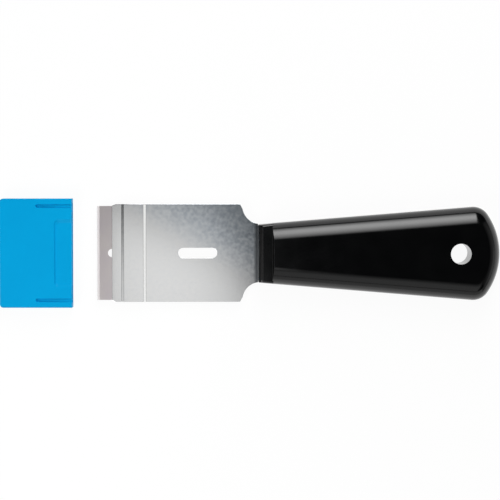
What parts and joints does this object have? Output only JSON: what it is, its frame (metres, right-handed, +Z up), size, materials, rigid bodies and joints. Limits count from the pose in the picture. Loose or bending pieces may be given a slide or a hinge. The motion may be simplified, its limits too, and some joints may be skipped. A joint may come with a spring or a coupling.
{
  "type": "hand scraper",
  "caption": "Flat hand scraper with a tapered handle and a hang hole, a steel head that clamps a replaceable blade, and a push-on blade cap.",
  "frame": {"origin": "under the middle of the set's bounding box, on the surface that the scraper and its cap lie on", "axes": "+X from the cap to the end of the handle, +Y across the tool, +Z up from the underside to the upper face"},
  "size_m": [0.2276, 0.0498, 0.0165],
  "materials": {
    "handle_plastic": "glossy black moulding",
    "sheet_steel": "bright rolled sheet, faintly mottled",
    "rivet_steel": "plain steel",
    "blade_steel": "satin, with bright ground edges",
    "cap_plastic": "satin blue moulding"
  },
  "bodies": {
    "scraper": {"handle": "handle_plastic", "lower_leaf": "sheet_steel", "upper_leaf": "sheet_steel", "tang_rivet_1": "rivet_steel", "tang_rivet_2": "rivet_steel"},
    "blade": {"blade": "blade_steel"},
    "cap": {"cap": "cap_plastic"}
  },
  "joints": [
    {"name": "blade_slide", "type": "slide", "parent": "scraper", "child": "blade", "axis": [-1, 0, 0], "range_m": [0, 0.0165]},
    {"name": "cap_slide", "type": "slide", "parent": "blade", "child": "cap", "axis": [1, 0, 0], "range_m": [0, 0.042]}
  ]
}
